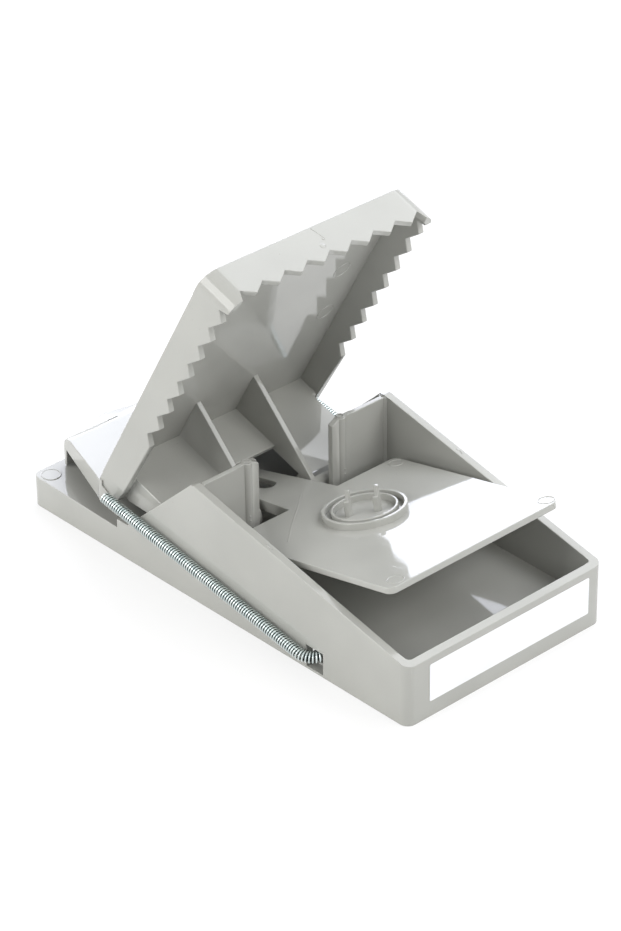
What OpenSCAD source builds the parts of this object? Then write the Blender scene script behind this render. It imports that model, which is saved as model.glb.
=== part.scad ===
// Moulded rat trap in the set position: a tray with a raised saw-toothed jaw, a tilted bait
// plate that holds the jaw by its tongue, and one long extension spring along each side.
// X runs to the front of the tray, Y across it and Z up. The origin is at the centre of the
// base's underside. Lengths along X are given from the base's rear edge.

/* [Base] */
// Length of the base, rear edge to front wall
base_len = 160; // [150:1:170]
// Width of the base over its side walls
base_w = 76; // [72:1:84]
// Thickness of the base's walls
base_wall = 2.6; // [2.2:0.1:3]
// Thickness of the base's floor and of the rear deck
floor_t = 2; // [1.6:0.1:2.4]
// Height of the tray's front wall
front_h = 19.4; // [18:0.2:20]
// Height of the side walls at their peak
peak_h = 38.6; // [37:0.2:39]
// Height of the rear deck at its rear edge
deck_h = 10; // [8.5:0.25:11]
// Length of the rear deck
deck_len = 39; // [36:0.5:41]
// Height of the tray's floor at its front end
floor_h = 7.9; // [7:0.1:9]

/* [Jaw] */
// Distance of the jaw's hinge from the rear edge
hinge_x = 67.2; // [66.5:0.1:67.5]
// Height of the jaw's hinge
hinge_z = 15; // [14.5:0.1:15.5]
// Angle of the jaw's back above level in the set position
jaw_open = 60.4; // [55:0.2:62]
// Reach of the jaw in front of its hinge, at the tips of the front teeth
jaw_reach = 90.4; // [88:0.2:91]
// Thickness of the jaw's back and walls
jaw_t = 2; // [1.6:0.1:2.4]
// Teeth along each side of the jaw
side_teeth = 8; // [6:1:9]
// Teeth along the front of the jaw
front_teeth = 8; // [6:1:9]

/* [Bait plate] */
// Tilt of the bait plate in the set position
plate_tilt = 12.6; // [8:0.2:14]
// Distance of the bait plate's pivot from the rear edge
pivot_x = 84; // [83:0.5:85]
// Height of the bait plate's pivot
pivot_z = 18; // [17.5:0.25:18.5]
// Width of the bait plate
plate_w = 65; // [60:0.5:65]
// Thickness of the bait plate
plate_t = 2; // [1.6:0.1:2.4]
// Outer radius of the bait cup
cup_r = 12.4; // [11:0.2:14]

/* [Springs] */
// Outer diameter of each extension spring
spring_od = 3.8; // [3.4:0.1:3.8]
// Diameter of the spring wire
wire_d = 1; // [0.8:0.05:1]
// Curls in each spring
spring_curls = 45; // [30:1:45]

/* [Label] */
// Width of the blank label on the front wall
label_w = 62; // [40:1:66]
// Height of the blank label
label_h = 12; // [8:0.1:13]

/* [Hidden] */
$fn = 48;
over = 1;                                // how far a cut runs past the face it opens
gap = 0.3;                               // clearance between pieces that move
fit_gap = 0.05;                          // radial clearance of a hinge stub in its socket
half_w = base_w / 2;
inner_w = half_w - base_wall;            // inner face of the side walls
socket_end = half_w - 0.7;               // the sockets stop short of the outer face
boss_proud = 0.6;                        // how far a bearing boss stands in from the wall

// Side view of the base
deck_drop = 0.9;                         // the deck falls this much to the tray
step_h = 12;                             // height of the side wall where it starts
slope_x = deck_len + 4.7;                // foot of the steep rear slope
peak_x = [72.6, 74.5];                   // the short flat on top of each side wall
base_r = 3;                              // corner radius of the base
tray_r = 1;                              // corner radius inside the tray
ledge_in = 31.5;                         // inner edge of the ledge that anchors a spring
ledge_past = 3;                          // the ledge reaches this far past the wall's slot

// Cross partitions between the jaw's hinge and the bait plate
part_x = 73.9;
part_t = 1.6;
part_in = 18.2;                          // distance of the inner posts from the middle
part_h = peak_h - 0.4;
post_r = 1.65;
side_post_y = 35.9;                      // distance of the posts beside the side walls
flange_in = 14.2;                        // inner edge of the thin flange on each inner post
flange_t = 1.9;
flange_bevel = 1.4;

// Hinge stubs and sockets
jaw_stub_r = 1.5;
plate_stub_r = 1.2;
stub_end = socket_end - 0.3;
jaw_boss_r = 3.2;
plate_boss_r = 2.4;

// Jaw, drawn level with its hinge at the origin
jaw_top = 34.6;                          // height of the jaw's back over its hinge
jaw_front_lean = 2.1;                    // the front wall leans out this much to the teeth
jaw_r = 6;                               // corner radius in front
jaw_rear_x = -12.9;
root_front = 24.9;                       // height of the tooth roots at the front
tip_front = 22.1;                        // height of the tooth tips at the front
tooth_rise = 0.034;                      // how much the tooth line rises per mm to the rear
first_root_x = jaw_reach - 6.5;          // first root beside the rounded front corner
side_pitch = 8.86;
side_tip_share = 0.35;                   // where a side tooth's tip lies between its roots
front_root_y = 33.1;                     // first root of the front row from the middle
front_pitch = 2 * front_root_y / front_teeth;
edge_end = [-3.9, 24.95];                // lower rear end of the straight side edge
web_t = 1.8;                             // plate between the back and the hinge
web_top_x = -2.8;
web_foot_x = 4.2;                        // its front face is tangent to the hinge barrel
web_w = 34.5;                            // half width of the web below the side walls
bay_half = 11.9;                         // half width of the open middle bay with its ribs
bay_end_z = 15.3;                        // the web stops here in the middle bay
rib_t = 1.7;
rib_top_x = 13.8;
barrel_r = 4.2;

arm_t = 1.5;                             // flange along each side of the web, and its edge
arm_edge = [[-11.2, 30], [-11.2, 24.4], [-7.6, 17.3], [-4.1, 0], [4.1, 0]];
hub_block = [
  [-12.5, 33], [-12.5, 26.2], [-9, 25.7], [-3, 25.2], [-1.4, 25.2], [-3, 33]
];

// Tail of the jaw, the pedal that sets it, drawn in the set position: it lies over the deck
// and its rear lip almost touches it.
pedal_t = 1.8;
pedal_flange_t = 1.9;
pedal_front_x = 32.2;
pedal_half = [27.4, 38];                 // half width at its rear lip and at the jaw
pedal_top = [[33, 22.35], [7.9, 21.1], [5, 20.2], [3.2, 18.6], [2.6, 16.5]];
pedal_low = [[2.6, 10.4], [4.2, 10.4], [4.6, 15.9], [33, 15]];
pedal_inner = [[4.2, 9], [4.3, 16.4], [5.4, 18.3], [7.9, 19.3], [34, 20.6], [34, 9]];
pedal_hub = [
  [41.6, 16.9], [38.7, 17.5], [31.7, 21.5], [31.6, 15.1], [34.1, 14.2], [39.7, 13.2]
];
tab_edge = [[6, 25.5], [0.9, 10.4], [3.3, 1]];  // half of the thin tab behind the lip
tab_z = [18.9, 20.1];
slit_at = [5.4, -13, 17];                // narrow slit beside the crease of the pedal
slit_size = [0.7, 4, 5];
step_top = [-7.4, 34.6];                 // line of the shallow step on the side walls
step_foot = [-4.7, 24];
step_in = 0.5;

// Sear peg on the jaw, in the slot of the bait plate's tongue
peg_x = [53, 55.4];
peg_z = [13.8, 22.6];
peg_half = 2;

// Bait plate, drawn level with its pivot at the origin
plate_top = 4.58;
plate_rear = -1.2;
plate_front = 66.2;
plate_r = 2.5;
tongue_end = -36.4;
tongue_root_half = 9.6;
tongue_end_half = 6.8;
tongue_rib_t = 1.6;
tongue_rib_h = 1.6;
slot_x = [-31.8, -18.9];
slot_half = 2.7;
cup_x = 21.1;
cup_ring_t = 1.1;
cup_h = 2.1;
cup_inner_r = 9.7;
cup_inner_h = 2;
bait_pin_at = [2.5, 3.3];                // each bait pin from the middle of the cup
bait_pin_r = 0.9;                        // each pin is a short round and a tall one, joined
bait_pin_h = 4.7;
bait_pin_step = -0.9;
bait_tip_r = 0.75;
bait_tip_h = 7.7;
lug_w = 3;

// Springs
coil_r = (spring_od - wire_d) / 2;
spring_y = half_w + gap + spring_od / 2;
spring_rear = [36.8, 19.4];              // axis of the rear end, beside the jaw
spring_bend = [118.5, 5.8];              // axis where the spring starts to bend inwards
bend_r = 8;
bend_angle = 50;
bend_lift = 20;                          // the bend also rises, by this angle
wire_hole_r = wire_d / 2 + 0.35;
rings_per_curl = 8;
wire_sides = 6;
rear_leg = 3.4;                          // wire from the rear curl into the jaw
anchor_y = 33.6;                         // the wire ends in a hole in the ledge here
slot_z = [0.8, 7.8];                       // opening in the side wall for the spring's end
slot_wall_x = [119.8, 126.4];
slot_skin = 0.2;                         // wall left between the slot's top and the floor

// Label
label_t = 0.15;
label_z = 5.2;
label_y = 1.3;                           // the label sits a little off the middle

plastic = "#bdbeb7";
steel = "#c9ccd0";
paper = "#f4f4f2";

// Rectangle from x0 to x1 and half as wide as w to each side, with round corners.
module plan(x0, x1, w, r_rear, r_front) {
  translate([x0 + r_rear, -w]) square([x1 - x0 - r_rear - r_front, 2 * w]);
  translate([x0, r_rear - w]) square([r_rear + 0.01, 2 * (w - r_rear)]);
  translate([x1 - r_front - 0.01, r_front - w]) square([r_front + 0.01, 2 * (w - r_front)]);
  for (s = [-1, 1]) {
    translate([x0 + r_rear, s * (w - r_rear)]) circle(r = r_rear);
    translate([x1 - r_front, s * (w - r_front)]) circle(r = r_front);
  }
}

// Moves a piece drawn from the rear edge to the base's own origin.
module from_rear() {
  translate([-base_len / 2, 0, 0]) children();
}

// An XZ outline pushed out to y0 and y1.
module across(y0, y1) {
  translate([0, y1, 0]) rotate([90, 0, 0]) linear_extrude(y1 - y0) children();
}

// A rod along Y from y0 to y1.
module rod(r, y0, y1) {
  translate([0, y1, 0]) rotate([90, 0, 0]) cylinder(r = r, h = y1 - y0);
}

// Both sides of something drawn at positive Y.
module both_sides() {
  children();
  mirror([0, 1, 0]) children();
}

// Top of the rear deck, and of the tray's floor, which runs on from it.
function deck_at(x) = let (edge = deck_h - deck_drop)
  x < deck_len ? deck_h - deck_drop * x / deck_len
    : edge - (edge - floor_h) * (x - deck_len) / (base_len - deck_len);

module base_outline() {
  polygon([
    [0, 0], [base_len, 0], [base_len, front_h], [peak_x[1], peak_h], [peak_x[0], peak_h],
    [slope_x, step_h], [deck_len, step_h], [deck_len, deck_at(deck_len)], [0, deck_h]
  ]);
}

// Room of the tray above its floor.
module tray_room() {
  intersection() {
    linear_extrude(peak_h + 2 * over)
      plan(deck_len - 5, base_len - base_wall, inner_w, tray_r, tray_r);
    across(-inner_w - over, inner_w + over) polygon([
      [deck_len, deck_at(deck_len)], [base_len, floor_h], [base_len, peak_h + over],
      [deck_len - over, peak_h + over], [deck_len - over, step_h - over]
    ]);
  }
}

// Hollow below the deck and the floor, open downwards, less the cross rib and both ledges.
module under_room() {
  difference() {
    across(-inner_w, inner_w) polygon(concat(
      [[base_len - base_wall, -over], [base_wall, -over]],
      [for (x = [base_wall, deck_len, base_len - base_wall]) [x, deck_at(x) - floor_t]]
    ));
    translate([(base_len - base_wall) / 2, -half_w, -2 * over])
      cube([base_wall, base_w, deck_h + 2 * over]);
    both_sides() translate([slot_wall_x[0] - ledge_past, ledge_in, -2 * over])
      cube([slot_wall_x[1] - slot_wall_x[0] + 2 * ledge_past, half_w - ledge_in,
        floor_t + 2 * over]);
  }
}

module base_shell() {
  difference() {
    intersection() {
      linear_extrude(peak_h + over) plan(0, base_len, half_w, base_r, base_r);
      across(-half_w - over, half_w + over) base_outline();
    }
    tray_room();
    under_room();
  }
}

// Slot in a side wall for the spring's end, which runs in under the floor.
module spring_slot() {
  long = slot_wall_x[1] - slot_wall_x[0];
  low = slot_z[0] + over;
  translate([slot_wall_x[0], inner_w - 0.3, slot_z[0]])
    cube([long, base_wall + over, deck_at(slot_wall_x[1]) - floor_t - 0.5 - slot_z[0]]);
  translate([slot_wall_x[0], inner_w + slot_skin, low])
    cube([long, base_wall + over, slot_z[1] - low]);
}

// One cross partition with its two round posts and the bevelled flange.
module partition() {
  sunk = deck_at(part_x) - 0.5;
  translate([part_x - part_t / 2, part_in, sunk])
    cube([part_t, inner_w + 0.5 - part_in, part_h - sunk]);
  translate([part_x, part_in, sunk]) cylinder(r = post_r, h = part_h + 0.2 - sunk);
  intersection() {
    translate([part_x, side_post_y, sunk]) cylinder(r = post_r, h = part_h - sunk);
    translate([0, 0, sunk]) cube([base_len, half_w - 0.6, peak_h]);
  }
  translate([part_x - flange_t / 2, 0, 0]) rotate([90, 0, 90]) linear_extrude(flange_t)
    polygon([
      [flange_in, sunk], [part_in, sunk], [part_in, part_h],
      [part_in - post_r, part_h], [flange_in, part_h - flange_bevel]
    ]);
}

module bearing(x, z, r) {
  translate([x, 0, z]) rod(r, inner_w - boss_proud, inner_w + 0.5);
}

module socket(x, z, r) {
  translate([x, 0, z]) rod(r + fit_gap, inner_w - boss_proud - over, socket_end);
}

module base() {
  color(plastic) from_rear() difference() {
    union() {
      base_shell();
      both_sides() {
        partition();
        bearing(hinge_x, hinge_z, jaw_boss_r);
        bearing(pivot_x, pivot_z, plate_boss_r);
      }
    }
    both_sides() {
      socket(hinge_x, hinge_z, jaw_stub_r);
      socket(pivot_x, pivot_z, plate_stub_r);
      spring_slot();
      translate([front_end()[0], -front_end()[1], -over])
        cylinder(r = wire_hole_r, h = floor_t + 2 * over);
    }
  }
}

function tip_z(x) = tip_front + tooth_rise * (first_root_x - x);
function root_z(x) = root_front + tooth_rise * (first_root_x - x);
function side_root_x(k) = first_root_x - side_pitch * k;

// Lower edge of the jaw's side, from the front corner to the rear.
function side_edge() = concat(
  [[jaw_reach + over, tip_front - 0.3], [first_root_x + 1.6, tip_front - 0.3]],
  [for (k = [0:side_teeth - 1], p = [0, side_tip_share])
    let (x = side_root_x(k + p)) [x, p == 0 ? root_z(x) : tip_z(x)]],
  [edge_end]
);

module jaw_outline() {
  polygon(concat(
    [[jaw_rear_x, jaw_top], [jaw_reach + over, jaw_top]],
    side_edge(), [[-9, 25.6], [jaw_rear_x - 1, 26.5]]
  ));
}

// What is cut away under the front row of teeth.
module front_gaps() {
  points = concat(
    [[-front_root_y - 1.3, tip_front - 0.3]],
    [for (k = [0:front_teeth]) each concat(
      [[-front_root_y + front_pitch * k, root_front]],
      k < front_teeth ? [[-front_root_y + front_pitch * (k + 0.5), tip_front]] : [])],
    [[front_root_y + 1.3, tip_front - 0.3], [front_root_y + 1.3, 0], [-front_root_y - 1.3, 0]]
  );
  translate([first_root_x + 0.1, 0, 0]) rotate([90, 0, 90]) linear_extrude(jaw_r + 2 * over)
    polygon(points);
}

// Block with round front corners that leans out towards the teeth, t inside the jaw's skin.
module leaning_block(t) {
  lean = atan2(jaw_front_lean, jaw_top - tip_front);
  translate([jaw_reach, 0, tip_front]) rotate([0, -lean, 0])
    translate([-jaw_reach, 0, -tip_front - over]) linear_extrude(2 * jaw_top)
      plan(jaw_rear_x - 30, jaw_reach - t, half_w - t, 1, jaw_r - t);
}

module jaw_shell() {
  inner_top = jaw_top - jaw_t;
  difference() {
    intersection() {
      leaning_block(0);
      across(-half_w - over, half_w + over) jaw_outline();
    }
    intersection() {
      leaning_block(jaw_t);
      across(-half_w, half_w) translate([-50, -over]) square([150, inner_top + over]);
    }
    front_gaps();
    both_sides() across(half_w - step_in, half_w + over) polygon([
      step_top, step_foot, [-20, 20], [-20, step_top[1] + over], [step_top[0], step_top[1] + over]
    ]);
  }
}

function web_x(z) = web_foot_x + (web_top_x - web_foot_x) * z / (jaw_top - jaw_t);

module web_outline(z0, z1) {
  polygon([
    [web_x(z0), z0], [web_x(z1), z1], [web_x(z1) - web_t, z1], [web_x(z0) - web_t, z0]
  ]);
}

module jaw_web() {
  inner_top = jaw_top - jaw_t;
  side_foot = edge_end[1] + 1;
  across(-half_w + jaw_t / 2, half_w - jaw_t / 2) web_outline(side_foot, inner_top + jaw_t / 2);
  across(-bay_half, bay_half) web_outline(bay_end_z, side_foot + 0.1);
  both_sides() {
    across(bay_half - rib_t, web_w) web_outline(0, side_foot + 0.1);
    across(web_w - arm_t, web_w) polygon(concat([[web_x(inner_top), inner_top]], arm_edge));
    across(web_w - arm_t, half_w - jaw_t / 2) polygon(hub_block);
    across(bay_half - rib_t, bay_half) polygon([
      [web_top_x - 0.5, inner_top + 0.5], [rib_top_x, inner_top + 0.5], [rib_top_x, inner_top],
      [web_foot_x + 0.4, -0.5], [web_foot_x - 1, -0.5], [web_foot_x - 1, 0]
    ]);
    rod(barrel_r, bay_half - rib_t, web_w);
    rod(jaw_stub_r, web_w - over, stub_end);
  }
}

// Plan of the pedal, which widens from its lip to the jaw, less t on each side.
module pedal_plan(t) {
  rear_x = pedal_low[0][0];
  points = [[rear_x - over, pedal_half[0] - 0.35 - t], [pedal_front_x, pedal_half[1] - t],
    [pedal_front_x + 3, pedal_half[1] - t]];
  polygon(concat(points, [for (i = [2:-1:0]) [points[i][0], -points[i][1]]]));
}

module pedal() {
  difference() {
    intersection() {
      linear_extrude(peak_h) pedal_plan(0);
      across(-half_w - over, half_w + over) polygon(concat(pedal_top, pedal_low));
    }
    intersection() {
      linear_extrude(peak_h) pedal_plan(pedal_flange_t);
      across(-half_w, half_w) polygon(pedal_inner);
    }
    translate(slit_at) cube(slit_size);
  }
  both_sides() across(half_w - pedal_t, half_w) polygon(pedal_hub);
  translate([0, 0, tab_z[0]]) linear_extrude(tab_z[1] - tab_z[0])
    polygon(concat(tab_edge, [for (i = [2:-1:0]) [tab_edge[i][0], -tab_edge[i][1]]]));
}

module jaw() {
  color(plastic) from_rear() difference() {
    union() {
      translate([hinge_x, 0, hinge_z]) rotate([0, -jaw_open, 0]) {
        jaw_shell();
        jaw_web();
      }
      pedal();
      translate([peg_x[0], -peg_half, peg_z[0]])
        cube([peg_x[1] - peg_x[0], 2 * peg_half, peg_z[1] - peg_z[0]]);
    }
    both_sides() translate([rear_end()[0], 0, rear_end()[1]])
      rod(wire_hole_r, half_w - 5, half_w + over);
  }
}

module plate_outline() {
  plan(plate_rear, plate_front, plate_w / 2, plate_r, plate_r);
  polygon([
    [tongue_end + 3, -tongue_end_half], [plate_rear + 1, -tongue_root_half],
    [plate_rear + 1, tongue_root_half], [tongue_end + 3, tongue_end_half],
    [tongue_end, tongue_end_half - 3], [tongue_end, 3 - tongue_end_half]
  ]);
}

module tongue_slot() {
  translate([slot_x[0], -slot_half]) square([slot_x[1] - slot_x[0] - slot_half, 2 * slot_half]);
  translate([slot_x[1] - slot_half, 0]) circle(r = slot_half);
}

module ring(r_out, wall, h) {
  difference() {
    cylinder(r = r_out, h = h);
    translate([0, 0, -over]) cylinder(r = r_out - wall, h = h + 2 * over);
  }
}

module bait_pin() {
  cylinder(r = bait_tip_r, h = bait_tip_h + 0.3);
  translate([0, bait_pin_step, 0]) cylinder(r = bait_pin_r, h = bait_pin_h + 0.3);
}

module bait_cup() {
  ring(cup_r, cup_ring_t, cup_h + 0.3);
  ring(cup_inner_r, cup_ring_t - 0.3, cup_inner_h + 0.3);
  for (s = [-1, 1]) translate([s * bait_pin_at[0], s * bait_pin_at[1], 0]) bait_pin();
}

// Lug and hinge stub under one rear corner of the plate.
module plate_hinge() {
  edge = plate_w / 2;
  rod(plate_boss_r, edge - lug_w, edge);
  translate([-plate_boss_r + 1.6, edge - lug_w, 0])
    cube([2 * plate_boss_r - 1.6, lug_w, plate_top - plate_t + 0.3]);
  rod(plate_stub_r, edge - over, stub_end);
}

module bait_plate() {
  color(plastic) from_rear() translate([pivot_x, 0, pivot_z]) rotate([0, -plate_tilt, 0]) {
    difference() {
      translate([0, 0, plate_top - plate_t]) linear_extrude(plate_t) plate_outline();
      translate([0, 0, plate_top - plate_t - over]) linear_extrude(plate_t + 2 * over)
        tongue_slot();
    }
    both_sides() {
      translate([0, 0, plate_top - plate_t - tongue_rib_h]) linear_extrude(tongue_rib_h + 0.3)
        polygon([
          [tongue_end + 3, tongue_end_half], [plate_rear + 1, tongue_root_half],
          [plate_rear + 1, tongue_root_half - tongue_rib_t],
          [tongue_end + 3, tongue_end_half - tongue_rib_t]
        ]);
      plate_hinge();
    }
    translate([cup_x, 0, plate_top - 0.3]) bait_cup();
  }
}

// Spring axis: straight beside the wall, then an arc that turns in towards the middle.
// The functions below describe the right-hand spring, at negative Y.
straight_run = norm(spring_bend - spring_rear);
slope = (spring_bend - spring_rear) / straight_run;
bend_run = bend_r * bend_angle * PI / 180;
axis_run = straight_run + bend_run;

function axis_turn(s) = s < straight_run ? 0 : (s - straight_run) / bend_r * 180 / PI;

// Along the straight part, and square to it towards the inside of the bend and upwards.
run_dir = [slope[0], 0, slope[1]];
in_dir = cos(bend_lift) * [0, 1, 0] + sin(bend_lift) * [-slope[1], 0, slope[0]];
up_dir = cross(run_dir, in_dir);

function axis_at(s) = let (
    a = axis_turn(s),
    along = s < straight_run ? s : straight_run + bend_r * sin(a)
  ) [spring_rear[0], -spring_y, spring_rear[1]] + along * run_dir + bend_r * (1 - cos(a)) * in_dir;
function axis_side(s) = let (a = axis_turn(s)) cos(a) * in_dir - sin(a) * run_dir;

// The wire starts under the rear curl, heading out of the jaw, and ends heading down.
wire_turns = spring_curls + 0.5 + 0.25;
function coil_at(t) = let (s = axis_run * t / wire_turns, a = -90 - 360 * t)
  axis_at(s) + coil_r * (sin(a) * up_dir + cos(a) * axis_side(s));

coil_rings = round(wire_turns * rings_per_curl);
coil_points = [for (i = [0:coil_rings]) coil_at(i / rings_per_curl)];
coil_end = coil_points[coil_rings];
wire_path = concat(
  [coil_points[0] + [0, rear_leg, 0], coil_points[0] + [0, 0.9, 0.05]],
  coil_points,
  [coil_end + [0, 0.6, -1], [coil_end[0], -anchor_y - 0.6, 3.6], [coil_end[0], -anchor_y, 2.6],
   [coil_end[0], -anchor_y, 0.4]]
);
function rear_end() = [coil_points[0][0], coil_points[0][2]];
function front_end() = [coil_end[0], -anchor_y];

// Least distance between wire centres more than half a curl apart, less the wire itself.
function least_gap(p, apart) = min([
  for (i = [0:len(p) - 1 - apart], j = [i + apart:min(len(p) - 1, i + 3 * rings_per_curl)])
    norm(p[i] - p[j])
]) - wire_d;
echo(spring_least_gap_mm = least_gap(wire_path, rings_per_curl - 2));

function unit(v) = v / norm(v);
function heading(p, i) = unit(p[min(i + 1, len(p) - 1)] - p[max(i - 1, 0)]);

// Section corners of the wire at ring i, square to its heading.
function wire_ring(p, i) = let (
    h = heading(p, i),
    u = unit(cross([1, 0, 0], h)),
    v = cross(h, u)
  ) [for (k = [0:wire_sides - 1]) let (a = 360 * k / wire_sides)
    p[i] + wire_d / 2 * (cos(a) * u + sin(a) * v)];

module wire_tube(p) {
  rings = len(p);
  n = wire_sides;
  points = [for (i = [0:rings - 1]) each wire_ring(p, i)];
  sides = [
    for (i = [0:rings - 2], k = [0:n - 1], half = [0, 1])
      let (a = i * n + k, b = i * n + (k + 1) % n)
        half == 0 ? [a, b, b + n] : [a, b + n, a + n]
  ];
  last = (rings - 1) * n;
  caps = [for (k = [1:n - 2]) each [[0, k + 1, k], [last, last + k, last + k + 1]]];
  polyhedron(points = points, faces = concat(sides, caps), convexity = 10);
}

module right_spring() {
  color(steel) from_rear() wire_tube(wire_path);
}

module left_spring() {
  color(steel) from_rear() mirror([0, 1, 0]) wire_tube(wire_path);
}

module label() {
  color(paper) from_rear() translate([base_len, label_y - label_w / 2, label_z])
    cube([label_t, label_w, label_h]);
}

base();
jaw();
bait_plate();
left_spring();
right_spring();
label();
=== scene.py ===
"""A moulded rat trap, set, on a white ground.

Lengths are in metres, apart from the classes that say millimetres. In the trap's own frame X
runs to the front of the tray, Y to its left side and Z up, with the origin at the centre of the
underside.
"""

import logging
import math
from dataclasses import dataclass, field
from enum import Enum

import bmesh
import bpy
from mathutils import Matrix, Vector
from mathutils.bvhtree import BVHTree


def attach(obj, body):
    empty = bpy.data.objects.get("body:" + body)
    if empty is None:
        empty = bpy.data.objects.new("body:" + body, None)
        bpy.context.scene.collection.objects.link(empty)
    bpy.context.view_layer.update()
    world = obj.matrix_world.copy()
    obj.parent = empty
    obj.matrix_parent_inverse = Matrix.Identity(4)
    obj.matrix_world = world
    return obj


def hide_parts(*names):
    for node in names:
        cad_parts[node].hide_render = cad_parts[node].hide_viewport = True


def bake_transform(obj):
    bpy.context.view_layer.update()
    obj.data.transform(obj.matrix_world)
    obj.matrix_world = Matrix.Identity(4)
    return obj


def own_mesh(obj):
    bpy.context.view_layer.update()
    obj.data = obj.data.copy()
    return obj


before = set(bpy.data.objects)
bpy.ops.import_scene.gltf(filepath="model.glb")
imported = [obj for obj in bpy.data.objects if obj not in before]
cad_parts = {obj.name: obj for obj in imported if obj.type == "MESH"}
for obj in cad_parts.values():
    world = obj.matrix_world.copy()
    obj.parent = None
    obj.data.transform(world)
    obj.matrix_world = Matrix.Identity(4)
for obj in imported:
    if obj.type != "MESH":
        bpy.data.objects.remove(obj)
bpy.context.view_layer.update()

log = logging.getLogger("rat_trap")

MM = 0.001
BASE_LEN = 0.160


class Body(Enum):
    """The moving bodies of the trap."""

    BASE = "base"
    JAW = "jaw"
    PLATE = "bait_plate"
    LEFT_SPRING = "left_spring"
    RIGHT_SPRING = "right_spring"


@dataclass(frozen=True)
class Lay:
    """Where a piece that is drawn level, from its hinge, lies in the set trap.

    The hinge is given in millimetres, from the base's rear edge and underside, and the tilt in
    degrees.
    """

    hinge_x: float
    hinge_z: float
    tilt: float

    def matrix(self) -> Matrix:
        """The matrix from the level drawing, in metres, to the trap's frame."""
        shift = Vector((self.hinge_x * MM - BASE_LEN / 2, 0, self.hinge_z * MM))
        return Matrix.Translation(shift) @ Matrix.Rotation(math.radians(-self.tilt), 4, "Y")


JAW_LAY = Lay(hinge_x=67.2, hinge_z=15.0, tilt=60.4)
PLATE_LAY = Lay(hinge_x=84.0, hinge_z=18.0, tilt=12.6)
BASE_LAY = Lay(hinge_x=0.0, hinge_z=0.0, tilt=0.0)
UPWARD = Vector((0, 0, 1))


def at(x: float, y: float, z: float) -> Vector:
    """A point given in millimetres."""
    return Vector((x, y, z)) * MM


class Signal:
    """A socket that carries a number, with sums and products as Math nodes."""

    def __init__(self, graph: "Graph", socket: bpy.types.NodeSocket) -> None:
        """Keeps the socket and the graph that new nodes go into."""
        self.graph = graph
        self.socket = socket

    def _math(self, operation: str, a: "Signal | float", b: "Signal | float") -> "Signal":
        """Adds a Math node.

        Args:
            operation: the node's operation.
            a: first value.
            b: second value.

        Returns:
            The node's result.
        """
        node = self.graph.node("ShaderNodeMath", {"operation": operation}, {0: a, 1: b})
        return Signal(self.graph, node.outputs[0])

    def __add__(self, other: "Signal | float") -> "Signal":
        """Sum."""
        return self._math("ADD", self, other)

    def __radd__(self, other: float) -> "Signal":
        """Sum with a number on the left."""
        return self._math("ADD", other, self)

    def __sub__(self, other: "Signal | float") -> "Signal":
        """Difference."""
        return self._math("SUBTRACT", self, other)

    def __rsub__(self, other: float) -> "Signal":
        """Difference with a number on the left."""
        return self._math("SUBTRACT", other, self)

    def __mul__(self, other: "Signal | float") -> "Signal":
        """Product."""
        return self._math("MULTIPLY", self, other)

    def __rmul__(self, other: float) -> "Signal":
        """Product with a number on the left."""
        return self._math("MULTIPLY", other, self)

    def at_most(self, other: "Signal | float") -> "Signal":
        """The lesser of two values."""
        return self._math("MINIMUM", self, other)


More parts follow.
